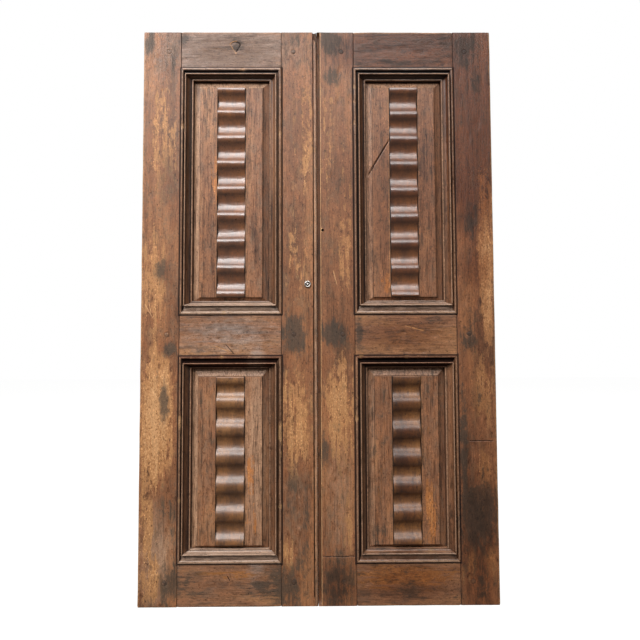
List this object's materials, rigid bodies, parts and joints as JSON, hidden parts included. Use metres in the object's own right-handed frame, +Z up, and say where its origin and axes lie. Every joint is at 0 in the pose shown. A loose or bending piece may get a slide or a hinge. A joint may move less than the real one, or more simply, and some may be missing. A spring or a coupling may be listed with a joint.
{
  "type": "carved wooden shutter",
  "caption": "Double-leaf carved wooden shutter with raised panels, rippled centre strips, mitred mouldings and lift-off hinges on its back edges.",
  "frame": {"origin": "under the middle of the closed pair, half way through its depth, at the foot of the leaves", "axes": "+X to the right seen from the carved front, +Y towards the back, +Z up"},
  "size_m": [0.7154, 0.0555, 1.15],
  "materials": {
    "stile_wood": "old oiled hardwood, worn",
    "rail_wood": "old oiled hardwood, worn",
    "panel_wood": "old waxed hardwood",
    "ripple_wood": "carved hardwood, polished",
    "moulding_wood": "dark stained hardwood",
    "peg_wood": "riven hardwood, end grain",
    "wrought_iron": "forged, dark",
    "boss_metal": "worn bright"
  },
  "bodies": {
    "jamb_pintles": {"left_upper_hinge_pintle": "wrought_iron", "left_lower_hinge_pintle": "wrought_iron", "right_upper_hinge_pintle": "wrought_iron", "right_lower_hinge_pintle": "wrought_iron"},
    "left_leaf": {"left_hanging_stile": "stile_wood", "left_meeting_stile": "stile_wood", "left_top_rail": "rail_wood", "left_middle_rail": "rail_wood", "left_bottom_rail": "rail_wood", "left_pegs": "peg_wood", "left_upper_panel": "panel_wood", "left_upper_ripple": "ripple_wood", "left_upper_moulding_top": "moulding_wood", "left_upper_moulding_bottom": "moulding_wood", "left_upper_moulding_outer": "moulding_wood", "left_upper_moulding_inner": "moulding_wood", "left_upper_hinge_eye": "wrought_iron", "left_lower_panel": "panel_wood", "left_lower_ripple": "ripple_wood", "left_lower_moulding_top": "moulding_wood", "left_lower_moulding_bottom": "moulding_wood", "left_lower_moulding_outer": "moulding_wood", "left_lower_moulding_inner": "moulding_wood", "left_lower_hinge_eye": "wrought_iron", "left_hinge_nails": "wrought_iron", "latch_boss": "boss_metal"},
    "right_leaf": {"right_hanging_stile": "stile_wood", "right_meeting_stile": "stile_wood", "right_top_rail": "rail_wood", "right_middle_rail": "rail_wood", "right_bottom_rail": "rail_wood", "right_pegs": "peg_wood", "right_upper_panel": "panel_wood", "right_upper_ripple": "ripple_wood", "right_upper_moulding_top": "moulding_wood", "right_upper_moulding_bottom": "moulding_wood", "right_upper_moulding_outer": "moulding_wood", "right_upper_moulding_inner": "moulding_wood", "right_upper_hinge_eye": "wrought_iron", "right_lower_panel": "panel_wood", "right_lower_ripple": "ripple_wood", "right_lower_moulding_top": "moulding_wood", "right_lower_moulding_bottom": "moulding_wood", "right_lower_moulding_outer": "moulding_wood", "right_lower_moulding_inner": "moulding_wood", "right_lower_hinge_eye": "wrought_iron", "right_hinge_nails": "wrought_iron"}
  },
  "joints": [
    {"name": "left_swing", "type": "hinge", "parent": "jamb_pintles", "child": "left_leaf", "pos_m": [-0.3517, 0.02175, 0], "axis": [0, 0, 1], "range_deg": [0, 175]},
    {"name": "right_swing", "type": "hinge", "parent": "jamb_pintles", "child": "right_leaf", "pos_m": [0.3517, 0.02175, 0], "axis": [0, 0, -1], "range_deg": [0, 175]}
  ]
}
